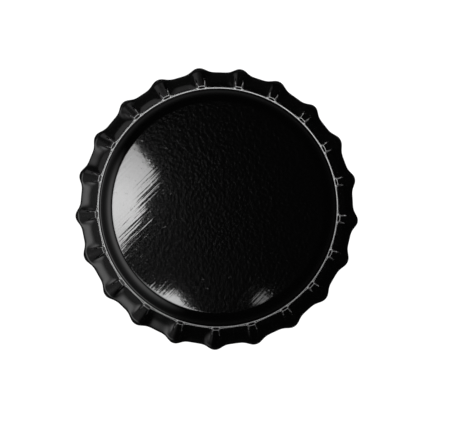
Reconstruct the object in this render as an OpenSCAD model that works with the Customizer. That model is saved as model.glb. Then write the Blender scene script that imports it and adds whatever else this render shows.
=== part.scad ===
// Crown cap: a pressed tinplate shell with a sealing liner moulded inside it.
// The cap stands on the bottom edge of its fluted skirt, panel up.
// The origin is on the cap's axis at the level of the bottom edge, and +Z is up.

/* [Shell] */
// Diameter inside the straight wall, which takes the bottle's lip
bore_d = 26.75; // [22:0.05:33]
// Height from the bottom edge to the middle of the panel
cap_h = 6; // [5:0.1:7.5]
// Thickness of the tinplate
sheet_t = 0.235; // [0.18:0.005:0.4]
// Outer radius of the shoulder that joins the panel to the wall
shoulder_r = 1.8; // [1.2:0.05:2.4]
// Rise of the panel from its rim to its middle
panel_rise = 0.12; // [0.06:0.02:0.3]
// Length of the straight wall between the shoulder and the flare
wall_h = 1.1; // [0.8:0.05:1.6]

/* [Skirt] */
// Number of teeth
teeth = 21; // [15:1:27]
// How far the bottom edge flares out from the wall, between the teeth
flare = 1.845; // [1.2:0.005:2.4]
// How far the tips of the teeth stand out from the edge between them
tooth_depth = 0.61; // [0.3:0.01:0.9]
// Width of a tooth at half its depth, at the bottom edge
tooth_w = 1.62; // [1.1:0.02:2.2]
// Width of a rib at half its depth, at its top
rib_w = 0.9; // [0.6:0.02:1.4]

/* [Liner] */
// Thickness of the liner's web
web_t = 0.25; // [0.15:0.05:0.5]
// Distance from the wall to the middle of the sealing ring
seal_inset = 1.675; // [1.2:0.025:3]
// Width of the sealing ring's round section
seal_w = 1.9; // [1.4:0.1:2.4]
// How far the sealing ring stands down from the web
seal_depth = 0.6; // [0.3:0.05:1]
// Gap between the liner and the lacquered sheet
bond_gap = 0.01; // [0.01:0.01:0.05]

/* [Hidden] */
$fn = 120;

bore_r = bore_d / 2;
wall_r = bore_r + sheet_t;

// The crowned panel is part of a big ball that touches the shoulder's arc.
shoulder_x = wall_r - shoulder_r;
ball_r = (shoulder_x * shoulder_x + panel_rise * panel_rise) / (2 * panel_rise);
ball_z = cap_h - ball_r;
shoulder_z = ball_z + sqrt(pow(ball_r - shoulder_r, 2) - pow(shoulder_x, 2));
ball_angle = asin(shoulder_x / (ball_r - shoulder_r));
ball_steps = 6;
shoulder_steps = 12;

// The skirt is cut square to the sheet, so it stands on its inner edge.
flare_z = shoulder_z - wall_h;
flare_angle = atan2(flare_z, flare);
edge_z = sheet_t * cos(flare_angle);

// The line of a rib's crest runs from the tip of its tooth to its root, just above the
// wall, and the rib dies away into the shoulder between the two fade heights.
root_out = 0.05;
root_z = shoulder_z + 0.19;
fade_low = root_z - 0.1;
fade_high = root_z + 0.38;
crest_run = flare + tooth_depth - root_out;

// The blends round the bend at the top of the flare and at the top of each rib.
flare_blend = 0.05;
rib_blend = 0.08;

// Each face of the skirt is proud of the turned wall, then tucks in under the shoulder,
// so that the upper end of the skirt lies inside the sheet.
proud_t = 0.012;
tuck_t = 0.08;
tuck_low = shoulder_z + 0.06;
tuck_high = shoulder_z + 0.2;
skirt_top = shoulder_z + 0.72;
wall_lap = 0.05;

// Heights of the skirt's rings, as shares of the flare, the wall and the shoulder.
ring_z = concat(
    [for (s = [0, 0.16, 0.36, 0.56, 0.74, 0.88, 0.97]) edge_z + s * (flare_z - edge_z)],
    [for (s = [0.08, 0.36, 0.7]) flare_z + s * wall_h],
    [tuck_low, tuck_high, root_z + 0.2, skirt_top]
);
side_steps = 5;
pitch = 360 / teeth;

// Rounded step: 0 far below zero, x far above it, with a bend of about the size b.
function soft(x, b) = (x + sqrt(x * x + 4 * b * b)) / 2;

// Smooth share from 0 at low to 1 at high.
function ease(x, low, high) =
    let (s = min(1, max(0, (x - low) / (high - low)))) s * s * (3 - 2 * s);

// Radius of the sheet's outer face between the ribs, at the height z.
function base_r(z) =
    z > shoulder_z
        ? shoulder_x + sqrt(shoulder_r * shoulder_r - pow(z - shoulder_z, 2))
        : wall_r + soft(flare * (1 - (z - edge_z) / (flare_z - edge_z)), flare_blend)
            - soft(-flare * wall_h / (flare_z - edge_z), flare_blend);

// Radius of the outer face along the crest of a rib.
function crest_r(z) =
    wall_r + root_out + soft(crest_run * (1 - (z - edge_z) / (root_z - edge_z)), rib_blend);

// Depth of a rib at its crest, which dies away into the shoulder.
function rib_depth(z) =
    max(0, crest_r(z) - base_r(z)) * (1 - ease(z, fade_low, fade_high));

// Width of a rib at half its depth.
function rib_width(z) = tooth_w + (rib_w - tooth_w) * min(1, (z - edge_z) / (root_z - edge_z));

// Share of a rib's depth at an angle a from its crest.
function rib_share(a, z) = exp(-pow(PI / 90 * a * base_r(z) / rib_width(z), 2) * ln(2));

// How far each face of the skirt stands out from the turned wall, or in from it.
function tuck(z) = proud_t - (proud_t + tuck_t) * ease(z, tuck_low, tuck_high);

function outer_r(a, z) = base_r(z) + tuck(z) + rib_depth(z) * rib_share(a, z);

function outer_point(a, z) = let (r = outer_r(a, z)) [r * cos(a), r * sin(a), z];

function sheet_normal(a, z) =
    let (
        d = 0.01,
        along = outer_point(a + d, z) - outer_point(a - d, z),
        up = outer_point(a, z + d) - outer_point(a, z - d),
        n = cross(along, up)
    ) n / norm(n);

function inner_point(a, z, bottom) =
    let (
        p = outer_point(a, z) - (sheet_t + 2 * tuck(z)) * sheet_normal(a, z)
    ) bottom ? [p[0], p[1], 0] : p;

// Angles across one tooth, closer together near its crest.
function side_angle(j) = let (s = j / side_steps) pitch / 2 * s * (0.55 + 0.45 * s * s);

function turn(p, a) = [p[0] * cos(a) - p[1] * sin(a), p[0] * sin(a) + p[1] * cos(a), p[2]];

// One tooth's worth of skirt points, repeated around the cap, from a crest at -Y.
module fluted_skirt() {
    around = 2 * side_steps * teeth;
    rings = len(ring_z);
    sides = [for (j = [-side_steps : side_steps - 1]) side_angle(j)];
    outer = [for (z = ring_z) [for (k = [0 : teeth - 1]) for (a = sides)
        turn(outer_point(a, z), k * pitch - 90)]];
    inner = [for (i = [0 : rings - 1]) [for (k = [0 : teeth - 1]) for (a = sides)
        turn(inner_point(a, ring_z[i], i == 0), k * pitch - 90)]];
    points = [for (ring = concat(outer, inner)) for (p = ring) p];
    function at(i, j) = i * around + j % around;
    faces = concat(
        [for (i = [0 : rings - 2]) for (j = [0 : around - 1]) for (f = [
            [at(i, j), at(i + 1, j), at(i + 1, j + 1)],
            [at(i, j), at(i + 1, j + 1), at(i, j + 1)],
            [at(rings + i, j), at(rings + i, j + 1), at(rings + i + 1, j + 1)],
            [at(rings + i, j), at(rings + i + 1, j + 1), at(rings + i + 1, j)]
        ]) f],
        [for (j = [0 : around - 1]) for (f = [
            [at(0, j), at(0, j + 1), at(rings, j + 1)],
            [at(0, j), at(rings, j + 1), at(rings, j)],
            [at(rings - 1, j), at(2 * rings - 1, j + 1), at(rings - 1, j + 1)],
            [at(rings - 1, j), at(2 * rings - 1, j), at(2 * rings - 1, j + 1)]
        ]) f]
    );
    polyhedron(points, faces, convexity = 6);
}

// Outline of the sheet's outer face moved in by d, from the axis out to the wall.
function dome_line(d) = concat(
    [for (i = [0 : ball_steps]) let (a = i / ball_steps * ball_angle)
        [(ball_r - d) * sin(a), ball_z + (ball_r - d) * cos(a)]],
    [for (i = [1 : shoulder_steps]) let (a = ball_angle + i / shoulder_steps * (90 - ball_angle))
        [shoulder_x + (shoulder_r - d) * sin(a), shoulder_z + (shoulder_r - d) * cos(a)]]
);

// Half outline of the space under that face, down to the height low.
module dome_half(d, low) {
    polygon(concat(dome_line(d), [[wall_r - d, low], [0, low]]));
}

// Panel and shoulder, turned about the cap's axis.
module dome() {
    rotate_extrude()
        difference() {
            dome_half(0, shoulder_z - wall_lap);
            dome_half(sheet_t, 0);
        }
}

module shell() {
    color([0.03, 0.03, 0.032])
        difference() {
            union() {
                dome();
                fluted_skirt();
            }
            translate([0, 0, -shoulder_z]) cylinder(r = bore_r, h = 2 * shoulder_z);
        }
}

// Web and sealing ring, which fill the shell up to its shoulder.
module liner() {
    web_z = cap_h - panel_rise - sheet_t - bond_gap - web_t;
    color([0.86, 0.86, 0.83])
        rotate_extrude()
            intersection() {
                dome_half(sheet_t + bond_gap, shoulder_z);
                union() {
                    translate([0, web_z]) square([bore_r, cap_h]);
                    translate([bore_r - seal_inset, web_z - seal_depth + seal_w / 2])
                        circle(r = seal_w / 2);
                }
            }
}

shell();
liner();
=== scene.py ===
"""A crown cap: a pressed, black-lacquered tinplate shell with a sealing liner moulded inside it."""

import logging
import math
import random
from dataclasses import dataclass, field
from enum import Enum
from itertools import count, takewhile
from typing import ClassVar, Sequence

import bmesh
import bpy
from mathutils import Matrix, Vector


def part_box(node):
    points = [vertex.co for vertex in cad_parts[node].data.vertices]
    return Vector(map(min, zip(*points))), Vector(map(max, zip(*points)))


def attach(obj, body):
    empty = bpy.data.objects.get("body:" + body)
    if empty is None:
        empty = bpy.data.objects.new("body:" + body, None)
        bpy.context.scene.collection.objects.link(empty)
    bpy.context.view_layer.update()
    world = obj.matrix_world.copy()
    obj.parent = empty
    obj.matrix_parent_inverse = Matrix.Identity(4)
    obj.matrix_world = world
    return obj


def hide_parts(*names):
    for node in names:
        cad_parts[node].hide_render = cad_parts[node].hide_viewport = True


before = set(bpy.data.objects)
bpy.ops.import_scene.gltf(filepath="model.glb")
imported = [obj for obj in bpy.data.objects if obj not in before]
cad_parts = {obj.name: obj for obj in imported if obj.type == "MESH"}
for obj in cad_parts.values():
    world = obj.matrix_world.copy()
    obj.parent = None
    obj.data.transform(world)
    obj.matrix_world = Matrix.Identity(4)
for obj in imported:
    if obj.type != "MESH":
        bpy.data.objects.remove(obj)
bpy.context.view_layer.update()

log = logging.getLogger("crown_cap")

Form = bmesh.types.BMesh
Material = bpy.types.Material
Node = bpy.types.Node
Pair = tuple[float, float]
Socket = bpy.types.NodeSocket
Tree = bpy.types.NodeTree

MM = 0.001
FULL_TURN = 2.0 * math.pi
MERGE_MM = 1e-5
WHITE = (1.0, 1.0, 1.0, 1.0)


# ---------------------------------------------------------------------------------------
# Small tools
# ---------------------------------------------------------------------------------------


def linear(hex_code: str) -> tuple[float, float, float, float]:
    """Turn an sRGB hex colour into the linear colour that a shader takes.

    Args:
        hex_code: Six hex digits with a leading hash.

    Returns:
        Linear red, green and blue, and an alpha of 1.
    """
    channels = (int(hex_code[i : i + 2], 16) / 255 for i in (1, 3, 5))
    lit = [c / 12.92 if c <= 0.04045 else ((c + 0.055) / 1.055) ** 2.4 for c in channels]
    return (lit[0], lit[1], lit[2], 1.0)


def soft(x: float, bend: float) -> float:
    """Rounded ramp: 0 far below zero, and x far above it.

    Args:
        x: Distance past the corner.
        bend: Size of the rounded corner.

    Returns:
        The rounded value.
    """
    return (x + math.sqrt(x * x + 4 * bend * bend)) / 2


def ease(x: float, limits: Pair) -> float:
    """Smooth share of the way between two limits.

    Args:
        x: Where to look.
        limits: Where the share is 0, and where it is 1.

    Returns:
        A share from 0 to 1.
    """
    low, high = limits
    share = min(1.0, max(0.0, (x - low) / (high - low)))
    return share * share * (3 - 2 * share)


def between(ends: Pair, share: float) -> float:
    """Value at a share of the way from one end to the other."""
    return ends[0] + (ends[1] - ends[0]) * share


def add_node(tree: Tree, kind: str, links: dict[str | int, object] | None = None, **settings: object) -> Node:
    """Add one shader node, set it and join it up.

    Args:
        tree: The node tree that takes the node.
        kind: The node's type, without its ShaderNode prefix.
        links: Input name or number, to the value or the output socket that feeds it.
        settings: Attributes of the node itself.

    Returns:
        The new node.
    """
    node = tree.nodes.new("ShaderNode" + kind)
    for name, value in settings.items():
        setattr(node, name, value)
    for socket, value in (links or {}).items():
        if isinstance(value, Socket):
            tree.links.new(value, node.inputs[socket])
        else:
            node.inputs[socket].default_value = value
    return node


def new_material(name: str) -> tuple[Material, Tree]:
    """Make an empty node material.

    Args:
        name: The material's name.

    Returns:
        The material and its node tree.
    """
    material = bpy.data.materials.new(name)
    material.use_nodes = True
    material.node_tree.nodes.clear()
    return material, material.node_tree


def new_object(name: str, form: Form, materials: Sequence[Material]) -> bpy.types.Object:
    """Turn a bmesh in millimetres into a scene object in metres.

    Args:
        name: The object's name.
        form: The mesh, which is freed.
        materials: The materials of its slots.

    Returns:
        The new object, at the origin.
    """
    bmesh.ops.scale(form, vec=(MM, MM, MM), verts=form.verts)
    mesh = bpy.data.meshes.new(name)
    form.to_mesh(mesh)
    form.free()
    for material in materials:
        mesh.materials.append(material)
    made = bpy.data.objects.new(name, mesh)
    bpy.context.scene.collection.objects.link(made)
    return made


def turned(line: Sequence[Pair], steps: int) -> Form:
    """Spin an open half outline about the cap's axis.

    Args:
        line: Radius and height of each point, in millimetres.
        steps: Number of steps in the full turn.

    Returns:
        The turned skin, with its poles closed.
    """
    form = bmesh.new()
    verts = [form.verts.new((radius, 0.0, height)) for radius, height in line]
    edges = [form.edges.new(pair) for pair in zip(verts, verts[1:])]
    bmesh.ops.spin(
        form,
        geom=verts + edges,
        cent=(0, 0, 0),
        axis=(0, 0, 1),
        angle=FULL_TURN,
        steps=steps,
        use_merge=True,
    )
    bmesh.ops.remove_doubles(form, verts=form.verts, dist=MERGE_MM)
    bmesh.ops.recalc_face_normals(form, faces=form.faces)
    return form


# ---------------------------------------------------------------------------------------
# Finishes
# ---------------------------------------------------------------------------------------


class Finish:
    """A procedural finish, drawn on a piece's Object coordinates, with its lengths in metres."""

    name: ClassVar[str]

    def surface(self, tree: Tree, place: Socket) -> Node:
        """Draw the finish's own nodes. Each finish has its own way."""
        raise NotImplementedError

    def make(self) -> Material:
        """Build the finish's material.

        Returns:
            The material.
        """
        material, tree = new_material(self.name)
        place = add_node(tree, "TexCoord").outputs["Object"]
        shader = self.surface(tree, place)
        add_node(tree, "OutputMaterial", {"Surface": shader.outputs["BSDF"]})
        return material


@dataclass(frozen=True)
class RollingGrain:
    """The straight grain that the rolling mill leaves on tinplate.

    The real marks are only a few hundredths of a millimetre apart. They are drawn as coarse
    as they need to be to show.
    """

    pitch: float
    length: float
    angle: float
    detail: float

    def draw(self, tree: Tree, place: Socket) -> Socket:
        """Draw the grain as a noise stretched along it.

        Args:
            tree: The material's node tree.
            place: Object coordinates.

        Returns:
            The grain's value, from 0 to 1.
        """
        along = add_node(tree, "Mapping", {"Vector": place, "Rotation": (0, 0, -self.angle)})
        stretch = (1 / self.length, 1 / self.pitch, 1 / self.length)
        drawn = add_node(tree, "Mapping", {"Vector": along.outputs["Vector"], "Scale": stretch})
        noise = {"Vector": drawn.outputs["Vector"], "Scale": 1.0, "Detail": self.detail}
        return add_node(tree, "TexNoise", noise).outputs["Fac"]


@dataclass(frozen=True)
class BlackLacquer(Finish):
    """Black gloss lacquer, roller coated and stoved on the flat sheet before it is pressed.

    It gives the eye a deep black with a sharp reflection, a faint haze round each
    highlight, and the rolling grain of the tinplate showing through as fine straight streaks.

    The peel is the slight unevenness of the stoved coat, at about its real pitch. Real dust
    grains and the unevenness behind the haze are finer than a tenth of a millimetre. They are
    drawn as coarse as they need to be to show, and the haze has no finer detail, which would
    average out.
    """

    name = "black_stoved_lacquer"
    colour: str = "#030303"
    ior: float = 1.5
    gloss_roughness: float = 0.03
    haze_roughness: float = 0.17
    haze_level: float = 0.035
    haze_pitch: float = 0.32 * MM
    haze_height: float = 0.0135 * MM
    haze_detail: float = 0.0
    grain: RollingGrain = RollingGrain(
        pitch=0.26 * MM, length=4.5 * MM, angle=math.radians(46), detail=1.0
    )
    grain_height: float = 0.0014 * MM
    peel_pitch: float = 0.45 * MM
    peel_height: float = 0.0005 * MM
    peel_detail: float = 2.0
    dust_pitch: float = 0.35 * MM
    dust_height: float = 0.0006 * MM
    dust_rarity: float = 5.0

    def surface(self, tree: Tree, place: Socket) -> Node:
        """Draw the lacquer: peel, grain and dust in its gloss, and haze under that.

        Args:
            tree: The material's node tree.
            place: Object coordinates.

        Returns:
            The shader.
        """
        grain = self.grain.draw(tree, place)
        peel = add_node(
            tree, "TexNoise", {"Vector": place, "Scale": 1 / self.peel_pitch, "Detail": self.peel_detail}
        )
        haze = add_node(
            tree, "TexNoise", {"Vector": place, "Scale": 1 / self.haze_pitch, "Detail": self.haze_detail}
        )
        # A random size for each dust grain, to a high power, leaves only a few of them big.
        dust = add_node(tree, "TexVoronoi", {"Vector": place, "Scale": 1 / self.dust_pitch})
        size = add_node(tree, "Math", {0: dust.outputs["Color"], 1: self.dust_rarity}, operation="POWER")
        speck = add_node(
            tree,
            "MapRange",
            {
                "Value": dust.outputs["Distance"],
                "From Max": size.outputs[0],
                "To Min": 1.0,
                "To Max": 0.0,
            },
        )
        # Each layer's relief lies on the one before it. The gloss lacks the last one, the haze's.
        relief = (
            (peel.outputs["Fac"], self.peel_height),
            (grain, self.grain_height),
            (speck.outputs["Result"], self.dust_height),
            (haze.outputs["Fac"], self.haze_height),
        )
        normals: list[Socket] = []
        for height, depth in relief:
            bump = add_node(tree, "Bump", {"Height": height, "Distance": depth})
            if normals:
                tree.links.new(normals[-1], bump.inputs["Normal"])
            normals.append(bump.outputs["Normal"])
        gloss_normal, haze_normal = normals[-2:]
        return add_node(
            tree,
            "BsdfPrincipled",
            {
                "Base Color": linear(self.colour),
                "Roughness": self.haze_roughness,
                "Specular IOR Level": self.haze_level,
                "IOR": self.ior,
                "Normal": haze_normal,
                "Coat Weight": 1.0,
                "Coat Roughness": self.gloss_roughness,
                "Coat IOR": self.ior,
                "Coat Normal": gloss_normal,
            },
        )


@dataclass(frozen=True)
class VarnishedTinplate(Finish):
    """Bright tinplate under a clear stoved varnish, as on the inner side of the sheet.

    It gives the eye a pale warm metal with a soft reflection along the rolling grain.
    """

    name = "varnished_tinplate"
    colour: str = "#C9C6BE"
    roughness: Pair = (0.22, 0.36)
    varnish_weight: float = 0.5
    varnish_roughness: float = 0.12
    grain: RollingGrain = RollingGrain(
        pitch=0.12 * MM, length=2.5 * MM, angle=math.radians(44), detail=3.0
    )

    def surface(self, tree: Tree, place: Socket) -> Node:
        """Draw the metal, rougher along some marks of its grain than along others.

        Args:
            tree: The material's node tree.
            place: Object coordinates.

        Returns:
            The shader.
        """
        smooth, rough = self.roughness
        grain = self.grain.draw(tree, place)
        roughness = add_node(tree, "MapRange", {"Value": grain, "To Min": smooth, "To Max": rough})
        return add_node(
            tree,
            "BsdfPrincipled",
            {
                "Base Color": linear(self.colour),
                "Metallic": 1.0,
                "Roughness": roughness.outputs["Result"],
                "Coat Weight": self.varnish_weight,
                "Coat Roughness": self.varnish_roughness,
            },
        )


@dataclass(frozen=True)
class BlankedSteel(Finish):
    """Bare mild steel with its tin smeared over it, where the blanking die cut the sheet.

    It gives the eye a thin bright grey line with a fine torn texture. The real tears are
    about a hundredth of a millimetre apart, and they are drawn coarser so that they show.
    """

    name = "blanked_steel"
    colour: str = "#B9B7B3"
    roughness: float = 0.38
    tear_pitch: float = 0.05 * MM
    tear_height: float = 0.006 * MM
    tear_detail: float = 2.0
    tear_strength: float = 0.7

    def surface(self, tree: Tree, place: Socket) -> Node:
        """Draw the torn metal.

        Args:
            tree: The material's node tree.
            place: Object coordinates.

        Returns:
            The shader.
        """
        tear = add_node(
            tree, "TexNoise", {"Vector": place, "Scale": 1 / self.tear_pitch, "Detail": self.tear_detail}
        ).outputs["Fac"]
        bump = add_node(
            tree, "Bump", {"Height": tear, "Strength": self.tear_strength, "Distance": self.tear_height}
        )
        return add_node(
            tree,
            "BsdfPrincipled",
            {
                "Base Color": linear(self.colour),
                "Metallic": 1.0,
                "Roughness": self.roughness,
                "Normal": bump.outputs["Normal"],
            },
        )


@dataclass(frozen=True)
class CrazedLacquer(Finish):
    """Black lacquer crazed dull where the blanking die rolled the edge of the sheet over.

    It gives the eye a thin matt black line round the teeth. The real cracks are finer, and
    they are drawn coarser so that they show.
    """

    name = "crazed_black_lacquer"
    colour: str = "#050505"
    roughness: float = 0.7
    sheen_level: float = 0.2
    craze_pitch: float = 0.06 * MM
    craze_height: float = 0.004 * MM
    craze_strength: float = 0.6

    def surface(self, tree: Tree, place: Socket) -> Node:
        """Draw the crazed lacquer.

        Args:
            tree: The material's node tree.
            place: Object coordinates.

        Returns:
            The shader.
        """
        craze = add_node(
            tree, "TexVoronoi", {"Vector": place, "Scale": 1 / self.craze_pitch}
        ).outputs["Distance"]
        bump = add_node(
            tree, "Bump", {"Height": craze, "Strength": self.craze_strength, "Distance": self.craze_height}
        )
        return add_node(
            tree,
            "BsdfPrincipled",
            {
                "Base Color": linear(self.colour),
                "Roughness": self.roughness,
                "Specular IOR Level": self.sheen_level,
                "Normal": bump.outputs["Normal"],
            },
        )


@dataclass(frozen=True)
class SealingCompound(Finish):
    """Soft polyethylene compound, moulded hot against the varnish.

    It gives the eye a milky off-white plastic with a dull sheen and low, wide flow marks.
    """

    name = "moulded_polyethylene"
    colour: str = "#DAD9D2"
    roughness: float = 0.42
    ior: float = 1.51
    milkiness: float = 0.2
    milk_depth: tuple[float, float, float] = (0.6 * MM, 0.6 * MM, 0.5 * MM)
    flow_pitch: float = 1.6 * MM
    flow_height: float = 0.012 * MM
    flow_detail: float = 3.0
    flow_strength: float = 0.6

    def surface(self, tree: Tree, place: Socket) -> Node:
        """Draw the milky plastic and its flow marks.

        Args:
            tree: The material's node tree.
            place: Object coordinates.

        Returns:
            The shader.
        """
        flow = add_node(
            tree, "TexNoise", {"Vector": place, "Scale": 1 / self.flow_pitch, "Detail": self.flow_detail}
        ).outputs["Fac"]
        bump = add_node(
            tree, "Bump", {"Height": flow, "Strength": self.flow_strength, "Distance": self.flow_height}
        )
        return add_node(
            tree,
            "BsdfPrincipled",
            {
                "Base Color": linear(self.colour),
                "Roughness": self.roughness,
                "IOR": self.ior,
                "Subsurface Weight": self.milkiness,
                "Subsurface Radius": self.milk_depth,
                "Subsurface Scale": 1.0,
                "Normal": bump.outputs["Normal"],
            },
        )


# ---------------------------------------------------------------------------------------
# The cap
# ---------------------------------------------------------------------------------------


class Face(Enum):
    """Which side of the sheet a face of the shell is on, with its material slot."""

    OUTSIDE = 0
    INSIDE = 1
    CUT_EDGE = 2
    ROLLED_EDGE = 3


SHELL_FINISHES: dict[Face, Finish] = {
    Face.OUTSIDE: BlackLacquer(),
    Face.INSIDE: VarnishedTinplate(),
    Face.CUT_EDGE: BlankedSteel(),
    Face.ROLLED_EDGE: CrazedLacquer(),
}


@dataclass(frozen=True)
class Tooth:
    """One tooth of the skirt, with the small unevenness that pressing leaves."""

    angle: float
    depth: float
    width: float


@dataclass
class Shell:
    """The pressed shell: crowned panel, round shoulder, steep wall and fluted skirt.

    Lengths are in millimetres. A slope is how far a face runs out for each millimetre it falls.
    """

    height: float
    tip_r: float
    # The sheet and its panel, whose crown ends where a plain shoulder would meet it.
    bore_r: float = 13.375
    sheet: float = 0.235
    panel_rise: float = 0.12
    plain_shoulder_r: float = 1.8
    rim_tilt: float = math.radians(1.165)
    # The shoulder, the wall and the flare between the ribs.
    shoulder_r: float = 1.695
    wall_tilt: float = math.radians(88.0)
    wall_low: float = 3.3
    flare_slope: float = 0.46
    # The sides of a rib: a crisp brow on a gentle foot, each with its width and its power at
    # the ledge and at the tip. The brow fades out, and the foot's power changes, between two
    # shares of the way down.
    tooth_depth: float = 0.61
    brow_w: Pair = (0.74, 1.2)
    brow_power: Pair = (8.0, 6.0)
    brow_share: float = 0.76
    brow_fade: Pair = (0.12, 0.9)
    foot_w: Pair = (1.5, 1.65)
    foot_power: Pair = (2.6, 2.3)
    foot_fade: Pair = (0.6, 1.0)
    # The crest of a rib: a narrow ledge between two heights, a blunt nose, a straight run
    # from there down, and a lip that curls out at its tip.
    ledge_z: Pair = (4.15, 3.86)
    ledge_slope: float = 0.9
    nose_slope: float = 0.3
    nose_low: float = 3.64
    lip_z: float = 0.5
    lip_curl: float = 1.2
    crease: float = 0.02
    # The cut edge, square to the sheet, with its corners rounded.
    edge_tilt: float = math.radians(48.0)
    edge_round: float = 0.035
    edge_segments: int = 2
    # The teeth, and how much they differ from one another.
    tooth_count: int = 21
    angle_play: float = math.radians(0.35)
    depth_play: Pair = (0.94, 1.0)
    width_play: Pair = (0.95, 1.06)
    seed: int = 26
    # How finely the skin is drawn: at shares of the panel, the shoulder and the skirt, and in
    # steps round each tooth, which at its crest are this share of an even step.
    panel_shares: tuple[float, ...] = (0, 0.35, 0.7, 0.92, 0.985, 1)
    shoulder_shares: tuple[float, ...] = (
        0.015, 0.04, 0.08, 0.14, 0.22, 0.32, 0.44, 0.56, 0.68, 0.78, 0.87, 0.94, 1,
    )
    skirt_shares: tuple[float, ...] = (
        0.91, 0.84, 0.77, 0.66, 0.55, 0.44, 0.33, 0.23, 0.16, 0.1, 0.05, 0,
    )
    steps_per_tooth: int = 44
    crest_step: float = 0.62
    tolerance: float = 1e-4
    # What follows from those sizes.
    ball_r: float = field(init=False)
    ball_z: float = field(init=False)
    ball_angle: float = field(init=False)
    shoulder_x: float = field(init=False)
    shoulder_z: float = field(init=False)
    wall_slope: float = field(init=False)
    wall_top: Pair = field(init=False)
    edge_z: float = field(init=False)
    flare_r: float = field(init=False)
    flare_curl: float = field(init=False)
    crest_slope: float = field(init=False)
    teeth: list[Tooth] = field(init=False)

    def __post_init__(self) -> None:
        """Work out the sizes that follow from the others."""
        plain_r = self.plain_shoulder_r
        rim_r = self.bore_r + self.sheet - plain_r + plain_r * math.sin(self.rim_tilt)
        self.ball_r = (rim_r**2 + self.panel_rise**2) / (2 * self.panel_rise)
        self.ball_z = self.height - self.ball_r
        self.ball_angle = math.asin(rim_r / self.ball_r)
        inner_r = self.ball_r - self.shoulder_r
        self.shoulder_x = inner_r * math.sin(self.ball_angle)
        self.shoulder_z = self.ball_z + inner_r * math.cos(self.ball_angle)
        self.wall_slope = 1 / math.tan(self.wall_tilt)
        self.wall_top = self.shoulder_point(self.wall_tilt)
        self.edge_z = self.sheet * math.cos(self.edge_tilt)
        self.flare_r = self.wall_top[0] + self.wall_slope * (self.wall_top[1] - self.wall_low)
        fall = self.wall_low - self.edge_z
        valley_run = self.tip_r - self.tooth_depth - self.flare_r
        self.flare_curl = (valley_run - self.flare_slope * fall) / fall**2
        ledge_top, ledge_foot = self.ledge_z
        nose_r = (
            self.flare_radius(ledge_top)
            + self.ledge_slope * (ledge_top - ledge_foot)
            + self.nose_slope * (ledge_foot - self.nose_low)
        )
        crest_run = self.tip_r - nose_r - self.lip_curl * (self.lip_z - self.edge_z) ** 2
        self.crest_slope = crest_run / (self.nose_low - self.edge_z)
        draw = random.Random(self.seed)
        self.teeth = [
            Tooth(
                angle=k * self.pitch - math.pi / 2 + draw.uniform(-self.angle_play, self.angle_play),
                depth=draw.uniform(*self.depth_play),
                width=draw.uniform(*self.width_play),
            )
            for k in range(self.tooth_count)
        ]

    @property
    def pitch(self) -> float:
        """Angle from one tooth to the next."""
        return FULL_TURN / self.tooth_count

    def panel_point(self, tilt: float, inset: float = 0.0) -> Pair:
        """Point on the crowned panel.

        Args:
            tilt: Tilt of the face there, from level.
            inset: How far under the outer face the point lies.

        Returns:
            Its radius and height.
        """
        radius = self.ball_r - inset
        return (radius * math.sin(tilt), self.ball_z + radius * math.cos(tilt))

    def shoulder_point(self, tilt: float, inset: float = 0.0) -> Pair:
        """Point on the round shoulder.

        Args:
            tilt: Tilt of the face there, from level.
            inset: How far under the outer face the point lies.

        Returns:
            Its radius and height.
        """
        radius = self.shoulder_r - inset
        return (self.shoulder_x + radius * math.sin(tilt), self.shoulder_z + radius * math.cos(tilt))

    def flare_radius(self, z: float) -> float:
        """Radius of the outer face between the ribs, below the shoulder.

        Args:
            z: Height on the wall or the flare.

        Returns:
            The radius.
        """
        fall = self.wall_low - z
        if fall <= 0:
            return self.flare_r + self.wall_slope * fall
        return self.flare_r + self.flare_slope * fall + self.flare_curl * fall**2

    def crest_radius(self, z: float) -> float:
        """Radius of the outer face along the crest of a rib.

        The crest leaves the wall on a narrow ledge, drops over a blunt nose, runs straight down
        and curls out at the tip of its tooth.

        Args:
            z: Height on the rib.

        Returns:
            The radius.
        """
        bends = (
            (self.ledge_z[0], self.ledge_slope - self.wall_slope),
            (self.ledge_z[1], self.nose_slope - self.ledge_slope),
            (self.nose_low, self.crest_slope - self.nose_slope),
        )
        wall_r = self.flare_r + self.wall_slope * (self.wall_low - z)
        lip = self.lip_curl * max(0.0, self.lip_z - z) ** 2
        return wall_r + lip + sum(turn * soft(low - z, self.crease) for low, turn in bends)

    def rib_share(self, tooth: Tooth, angle: float, radius: float, z: float) -> float:
        """Share of the depth that a tooth gives at some angle.

        A rib has a crisp brow on a gentle foot. The brow dies away towards the tooth's tip.

        Args:
            tooth: The tooth.
            angle: Angle about the axis.
            radius: Radius of the face between the ribs.
            z: Height on the rib.

        Returns:
            A share from 0 to about 1.
        """
        down = min(1.0, max(0.0, (self.ledge_z[1] - z) / (self.ledge_z[1] - self.edge_z)))
        off = (angle - tooth.angle + math.pi) % FULL_TURN - math.pi
        across = 2 * abs(off) * radius / tooth.width
        brow_power = between(self.brow_power, down)
        foot_power = between(self.foot_power, ease(down, self.foot_fade))
        brow = math.exp(-math.log(2) * (across / between(self.brow_w, down)) ** brow_power)
        foot = math.exp(-math.log(2) * (across / between(self.foot_w, down)) ** foot_power)
        crisp = self.brow_share * (1 - ease(down, self.brow_fade))
        return tooth.depth * (crisp * brow + (1 - crisp) * foot)

    def half_line(self) -> list[Pair]:
        """Half outline of the outer face between the ribs, from the axis to the bottom edge.

        Returns:
            Radius and height of each point.
        """
        panel = [self.panel_point(self.ball_angle * share) for share in self.panel_shares]
        tilts = (self.ball_angle, self.wall_tilt)
        shoulder = [self.shoulder_point(between(tilts, share)) for share in self.shoulder_shares]
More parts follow.
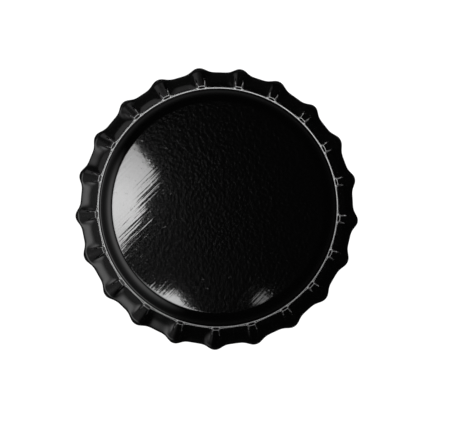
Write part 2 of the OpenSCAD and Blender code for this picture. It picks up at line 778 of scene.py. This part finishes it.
        # The points crowd above and below each height at which a rib or the wall bends.
        bends = (
            (self.ledge_z[0], (0.08, 0.03, -0.02)),
            (self.ledge_z[1], (0.08, 0.03, -0.02, -0.08)),
            (self.wall_low, (0.02, -0.02)),
            (self.nose_low, (0.12, 0.05, 0, -0.05, -0.12)),
        )
        heights = [bend + off for bend, offs in bends for off in offs]
        heights += [self.edge_z + (self.nose_low - self.edge_z) * share for share in self.skirt_shares]
        return panel + shoulder + [(self.flare_radius(z), z) for z in sorted(heights, reverse=True)]

    def crowd(self, off: float) -> float:
        """Move an angular step nearer to its rib, so that the rib's edges are drawn finely.

        Args:
            off: Distance from the rib's crest, as a share of the pitch, up to half of it.

        Returns:
            The new distance, as the same share.
        """
        return off * between((self.crest_step, 1.0), 4 * off**2)

    def push_ribs(self, form: Form) -> None:
        """Move the skirt's points out to form the ribs and teeth.

        Args:
            form: The turned skin.
        """
        for vert in form.verts:
            x, y, z = vert.co
            radius = math.hypot(x, y)
            if z >= self.wall_top[1] or radius < self.shoulder_x:
                continue
            turn = (math.atan2(y, x) + math.pi / 2) / self.pitch
            near = round(turn)
            angle = (near + self.crowd(turn - near)) * self.pitch - math.pi / 2
            beside = [self.teeth[k % self.tooth_count] for k in (near - 1, near, near + 1)]
            share = sum(self.rib_share(tooth, angle, radius, z) for tooth in beside)
            grown = radius + max(0.0, self.crest_radius(z) - radius) * share
            vert.co = (grown * math.cos(angle), grown * math.sin(angle), z)

    def skin(self) -> Form:
        """Spin the outer face, push the ribs out and give the sheet its thickness.

        Returns:
            The closed shell, with each face's material slot set.
        """
        line = self.half_line()
        form = turned(line, self.tooth_count * self.steps_per_tooth)
        rolled_top = line[-2][1] + self.tolerance
        rolled = {face for face in form.faces if all(vert.co.z < rolled_top for vert in face.verts)}
        self.push_ribs(form)
        outside = set(form.faces)
        outer_points = set(form.verts)
        bmesh.ops.solidify(form, geom=form.faces[:], thickness=self.sheet)
        for face in form.faces:
            if face in rolled:
                side = Face.ROLLED_EDGE
            elif face in outside:
                side = Face.OUTSIDE
            elif any(vert in outer_points for vert in face.verts):
                side = Face.CUT_EDGE
            else:
                side = Face.INSIDE
            face.material_index = side.value
        rims = [
            edge
            for edge in form.edges
            if sum(face.material_index == Face.CUT_EDGE.value for face in edge.link_faces) == 1
        ]
        bmesh.ops.bevel(
            form,
            geom=rims,
            offset=self.edge_round,
            offset_type="OFFSET",
            affect="EDGES",
            segments=self.edge_segments,
            profile=0.5,
            material=-1,
        )
        form.normal_update()
        return form

    def build(self, materials: Sequence[Material]) -> bpy.types.Object:
        """Make the shell and put it on the frame.

        Args:
            materials: One for each side of the sheet, in the order of Face.

        Returns:
            The shell's object.
        """
        form = self.skin()
        for face in form.faces:
            face.smooth = True
        made = new_object("pressed_shell", form, materials)
        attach(made, "root")
        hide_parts("shell")
        return made


@dataclass
class Liner:
    """The sealing liner: a thin web with a round sealing ring, in millimetres."""

    shell: Shell
    web: float = 0.25
    seal_inset: float = 1.675
    seal_w: float = 1.9
    seal_depth: float = 0.6
    gap: float = 0.01
    # How finely the liner is drawn, round the axis and along its half outline.
    steps: int = 192
    web_shares: tuple[float, ...] = (0.0, 0.25, 0.5, 0.75)
    seal_steps: int = 10
    seal_turn: float = math.radians(8)
    shoulder_steps: int = 8
    panel_steps: int = 6
    # What follows from those sizes.
    under: float = field(init=False)
    web_z: float = field(init=False)
    seal_r: float = field(init=False)
    seal_x: float = field(init=False)
    seal_z: float = field(init=False)

    def __post_init__(self) -> None:
        """Work out the sizes that follow from the others."""
        self.under = self.shell.sheet + self.gap
        self.web_z = self.shell.height - self.shell.panel_rise - self.under - self.web
        self.seal_r = self.seal_w / 2
        self.seal_x = self.shell.bore_r - self.seal_inset
        self.seal_z = self.web_z - self.seal_depth + self.seal_r

    def seal_point(self, angle: float) -> Pair:
        """Point on the sealing ring's round section, at an angle outwards from its lowest point."""
        return (self.seal_x + self.seal_r * math.sin(angle), self.seal_z - self.seal_r * math.cos(angle))

    def fits(self, point: Pair) -> bool:
        """Tell whether a point is clear of the inner side of the shell's shoulder.

        Args:
            point: Its radius and height.

        Returns:
            True where it is at least the gap away.
        """
        off = (point[0] - self.shell.shoulder_x, point[1] - self.shell.shoulder_z)
        return math.hypot(*off) <= self.shell.shoulder_r - self.under

    def half_line(self) -> list[Pair]:
        """Half outline of the liner, from the axis under the web round to the axis above it.

        Returns:
            Radius and height of each point.
        """
        shell = self.shell
        line = [(self.seal_x * share, self.web_z) for share in self.web_shares]
        start = math.acos((self.seal_z - self.web_z) / self.seal_r)
        line += [self.seal_point(-start * (1 - i / self.seal_steps)) for i in range(self.seal_steps)]
        line += takewhile(self.fits, (self.seal_point(i * self.seal_turn) for i in count()))
        radius, height = line[-1]
        tilts = (math.atan2(radius - shell.shoulder_x, height - shell.shoulder_z), shell.ball_angle)
        shares = [i / self.shoulder_steps for i in range(self.shoulder_steps + 1)]
        line += [shell.shoulder_point(between(tilts, share), self.under) for share in shares]
        shares = [1 - i / self.panel_steps for i in range(1, self.panel_steps + 1)]
        line += [shell.panel_point(shell.ball_angle * share, self.under) for share in shares]
        return line

    def build(self, material: Material) -> bpy.types.Object:
        """Make the liner and put it on the frame.

        Args:
            material: The sealing compound.

        Returns:
            The liner's object.
        """
        form = turned(self.half_line(), self.steps)
        for face in form.faces:
            face.smooth = True
        made = new_object("sealing_liner", form, [material])
        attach(made, "root")
        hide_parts("liner")
        return made


# ---------------------------------------------------------------------------------------
# Studio
# ---------------------------------------------------------------------------------------


@dataclass(frozen=True)
class SoftLight:
    """One flat soft light above the cap, brightest at one spot and dimmer away from it.

    A direction is how far it lies off the zenith to the side and ahead, in degrees. The fade
    says how far from the hot spot the light starts to dim, and where it has its dimmest share.
    The height is in metres.
    """

    name: str
    radiance: float
    corners: tuple[Pair, ...]
    hot_spot: Pair
    fade: Pair
    dimmest: float = 0.3
    height: float = 0.6

    def reach(self, angle: float) -> float:
        """How far an angle off the zenith reaches at the light's height, in metres."""
        return self.height * math.tan(math.radians(angle))

    def build(self) -> None:
        """Hang the light as a glowing panel that the camera itself does not see."""
        material, tree = new_material(self.name)
        hot = (self.reach(self.hot_spot[0]), self.reach(self.hot_spot[1]), self.height)
        place = add_node(tree, "TexCoord").outputs["Object"]
        away = add_node(tree, "VectorMath", {0: place, 1: hot}, operation="DISTANCE").outputs["Value"]
        strength = add_node(
            tree,
            "MapRange",
            {
                "Value": away,
                "From Min": self.reach(self.fade[0]),
                "From Max": self.reach(self.fade[1]),
                "To Min": self.radiance,
                "To Max": self.radiance * self.dimmest,
            },
        ).outputs["Result"]
        glow = add_node(tree, "Emission", {"Color": WHITE, "Strength": strength})
        add_node(tree, "OutputMaterial", {"Surface": glow.outputs["Emission"]})
        form = bmesh.new()
        for side, ahead in self.corners:
            form.verts.new((self.reach(side) / MM, self.reach(ahead) / MM, self.height / MM))
        bmesh.ops.contextual_create(form, geom=form.verts[:])
        panel = new_object(self.name, form, [material])
        panel.visible_camera = False
        panel.visible_shadow = False


@dataclass(frozen=True)
class Glow:
    """A soft glow in the room round the cap, which only its gloss shows.

    It lies towards an azimuth, in degrees. The spread is two cosines of the angle from there:
    where only the resting share of the glow is left, and where the glow is full. Each level
    goes with a height, from -1 straight below the cap to 1 straight above it.
    """

    azimuth: float
    spread: Pair
    rest: float
    levels: tuple[Pair, ...]

    def draw(self, tree: Tree, way: Socket, rise: Socket) -> Socket:
        """Draw the glow in the world's nodes.

        Args:
            tree: The world's node tree.
            way: The direction looked in, made level.
            rise: Its height, as a share of the way from straight down to straight up.

        Returns:
            The glow's strength there.
        """
        turn = math.radians(self.azimuth)
        toward = add_node(
            tree, "VectorMath", {0: way, 1: (math.cos(turn), math.sin(turn), 0)}, operation="DOT_PRODUCT"
        )
        side = add_node(
            tree,
            "MapRange",
            {
                "Value": toward.outputs["Value"],
                "From Min": self.spread[0],
                "From Max": self.spread[1],
                "To Min": self.rest,
                "To Max": 1.0,
            },
            interpolation_type="SMOOTHSTEP",
        )
        ramp = add_node(tree, "ValToRGB", {"Fac": rise})
        # A new ramp has two stops, which take the first two levels.
        stops = ramp.color_ramp.elements
        for stop, (height, level) in zip(stops, self.levels):
            stop.position = height / 2 + 0.5
            stop.color = (level, level, level, 1)
        for height, level in self.levels[2:]:
            stops.new(height / 2 + 0.5).color = (level, level, level, 1)
        lit = {0: ramp.outputs["Color"], 1: side.outputs["Result"]}
        return add_node(tree, "Math", lit, operation="MULTIPLY").outputs[0]


@dataclass
class Studio:
    """The pale floor, the soft lamps, the world and the camera.

    Lengths are in metres, apart from those whose name says millimetres.
    """

    camera_distance: float = 0.5
    camera_tilt: float = math.radians(2.1)
    camera_azimuth: float = math.radians(221.0)
    camera_roll: float = math.radians(-1.05)
    sensor_width_mm: float = 36.0
    view_width: float = 51.38 * MM
    view_shift: Pair = (1.09 * MM, -0.8 * MM)
    floor_half_mm: float = 1500.0
    floor_glow: str = "#F7F7F7"
    floor_paper: str = "#F4F4F4"
    floor_shade: str = "#8C8C8C"
    room_strength: float = 0.8
    lights: tuple[SoftLight, ...] = (
        SoftLight(
            name="key_softbox",
            radiance=14.5,
            corners=(
                (-1.4, 3.05),
                (-1.95, 3.7),
                (-2.25, 4.1),
                (-2.65, 4.5),
                (-6.5, 5.0),
                (-6.0, -3.0),
                (-2.8, -0.35),
                (-2.2, 0.6),
                (-1.88, 1.3),
                (-1.93, 1.85),
                (-1.45, 2.65),
            ),
            hot_spot=(-3.0, 1.5),
            fade=(0.5, 4.0),
        ),
        SoftLight(
            name="low_key",
            radiance=12.5,
            corners=((-0.3, -2.35), (-3.2, -2.45), (-5.5, -3.5), (-2.5, -6.5), (0.9, -4.4)),
            hot_spot=(-0.5, -2.75),
            fade=(0.3, 1.6),
        ),
        SoftLight(
            name="side_key",
            radiance=3.2,
            corners=(
                (3.15, -2.75),
                (3.35, -2.4),
                (3.65, -2.3),
                (3.85, -2.45),
                (3.95, -3.6),
                (3.6, -4.0),
                (3.3, -3.0),
            ),
            hot_spot=(3.4, -2.7),
            fade=(0.1, 0.8),
        ),
    )
    glows: tuple[Glow, ...] = (
        # The main glow: its low levels show in the flutes, and its high ones in the shoulder.
        Glow(
            azimuth=200,
            spread=(0.55, 0.95),
            rest=0.0,
            levels=(
                (-0.70, 0.0),
                (-0.64, 0.1),
                (-0.47, 0.1),
                (-0.44, 0.32),
                (-0.42, 0.6),
                (-0.40, 0.9),
                (-0.36, 1.2),
                (-0.31, 1.1),
                (-0.27, 0.0),
                (0.13, 0.02),
                (0.30, 0.1),
                (0.45, 0.2),
                (0.58, 0.37),
                (0.69, 0.7),
                (0.78, 1.15),
                (0.85, 1.45),
                (0.91, 1.45),
                (0.954, 1.1),
                (0.975, 0.0),
            ),
        ),
        # A low glow for a few flutes beside it.
        Glow(
            azimuth=130,
            spread=(0.75, 1.0),
            rest=0.03,
            levels=((-0.66, 0.0), (-0.60, 0.22), (-0.52, 0.2), (-0.49, 0.0)),
        ),
        # A dim band about level with the cap, which its slanting faces show on every side.
        Glow(
            azimuth=150,
            spread=(-0.7, 0.94),
            rest=0.18,
            levels=(
                (-0.56, 0.0),
                (-0.48, 0.02),
                (-0.36, 0.03),
                (-0.3, 0.11),
                (-0.1, 0.17),
                (0.1, 0.12),
                (0.3, 0.05),
                (0.6, 0.0),
            ),
        ),
        # A bright glow from below, which draws the thin bright line round the steep wall.
        Glow(azimuth=110, spread=(-1.0, 0.3), rest=0.45, levels=((-0.81, 2.3), (-0.73, 0.0))),
    )

    def build_floor(self) -> None:
        """Lay the white floor, which keeps the cap's faint shadow.

        The camera sees its glow over a grey paper that carries the shadow. Light on its way to
        the cap meets plain white paper.
        """
        material, tree = new_material("white_sweep")
        path = add_node(tree, "LightPath").outputs
        straight = add_node(
            tree, "Math", {0: path["Is Camera Ray"], 1: path["Is Transmission Ray"]}, operation="MAXIMUM"
        ).outputs[0]
        glow = add_node(tree, "Emission", {"Color": linear(self.floor_glow), "Strength": straight})
        paper = add_node(tree, "BsdfDiffuse", {"Color": linear(self.floor_paper)})
        shade = add_node(tree, "BsdfDiffuse", {"Color": linear(self.floor_shade)})
        lit = add_node(tree, "AddShader", {0: shade.outputs[0], 1: glow.outputs[0]})
        seen = add_node(tree, "MixShader", {0: straight, 1: paper.outputs[0], 2: lit.outputs[0]})
        add_node(tree, "OutputMaterial", {"Surface": seen.outputs["Shader"]})
        form = bmesh.new()
        bmesh.ops.create_grid(form, x_segments=1, y_segments=1, size=self.floor_half_mm)
        floor = new_object("floor", form, [material])
        floor.visible_glossy = False

    def build_world(self) -> None:
        """Light the room dimly, give the gloss its glows, and show the camera plain white."""
        world = bpy.data.worlds.new("studio")
        world.use_nodes = True
        tree = world.node_tree
        tree.nodes.clear()
        way = add_node(tree, "TexCoord").outputs["Generated"]
        up = add_node(tree, "SeparateXYZ", {"Vector": way}).outputs["Z"]
        rise = add_node(tree, "Math", {0: up, 1: 0.5, 2: 0.5}, operation="MULTIPLY_ADD").outputs[0]
        flat = add_node(tree, "VectorMath", {0: way, 1: (1, 1, 0)}, operation="MULTIPLY")
        level = add_node(tree, "VectorMath", {0: flat.outputs["Vector"]}, operation="NORMALIZE")
        strengths = [glow.draw(tree, level.outputs["Vector"], rise) for glow in self.glows]
        total = strengths[0]
        for strength in strengths[1:]:
            total = add_node(tree, "Math", {0: total, 1: strength}, operation="ADD").outputs[0]
        room = add_node(tree, "Background", {"Color": WHITE, "Strength": self.room_strength}).outputs[0]
        shine = add_node(tree, "Background", {"Color": WHITE, "Strength": total}).outputs[0]
        plain = add_node(tree, "Background", {"Color": WHITE, "Strength": 1.0}).outputs[0]
        path = add_node(tree, "LightPath").outputs
        met = add_node(tree, "MixShader", {0: path["Is Glossy Ray"], 1: room, 2: shine}).outputs[0]
        seen = add_node(tree, "MixShader", {0: path["Is Camera Ray"], 1: met, 2: plain}).outputs[0]
        add_node(tree, "OutputWorld", {"Surface": seen})
        bpy.context.scene.world = world

    def build_camera(self) -> None:
        """Hang the camera almost straight above the cap, looking at the frame's origin."""
        turn, tilt = self.camera_azimuth, self.camera_tilt
        away = Vector((math.cos(turn) * math.sin(tilt), math.sin(turn) * math.sin(tilt), math.cos(tilt)))
        up = away.cross(Vector((1, 0, 0))).normalized()
        side = up.cross(away).normalized()
        basis = Matrix((side, up, away)).transposed() @ Matrix.Rotation(-self.camera_roll, 3, "Z")
        shift = basis.col[0] * self.view_shift[0] + basis.col[1] * self.view_shift[1]
        place = Matrix.Translation(shift + away * self.camera_distance)
        lens = bpy.data.cameras.new("camera")
        lens.sensor_width = self.sensor_width_mm
        lens.lens = lens.sensor_width * self.camera_distance / self.view_width
        camera = bpy.data.objects.new("camera", lens)
        camera.matrix_world = place @ basis.to_4x4()
        bpy.context.scene.collection.objects.link(camera)
        bpy.context.scene.camera = camera

    def build(self) -> None:
        """Set the whole studio up."""
        self.build_floor()
        self.build_world()
        for light in self.lights:
            light.build()
            log.info("light %s", light.name)
        self.build_camera()


def main() -> None:
    """Build the cap and its studio."""
    logging.basicConfig(level=logging.INFO, format="%(name)s: %(message)s")
    bpy.context.scene.view_settings.view_transform = "Standard"
    lo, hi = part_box("shell")
    shell = Shell(height=hi[2] / MM, tip_r=-lo[1] / MM)
    piece = shell.build([SHELL_FINISHES[side].make() for side in Face])
    log.info("%s: %d faces", piece.name, len(piece.data.polygons))
    seal = Liner(shell).build(SealingCompound().make())
    log.info("%s: %d faces", seal.name, len(seal.data.polygons))
    Studio().build()


if __name__ == "__main__":
    main()
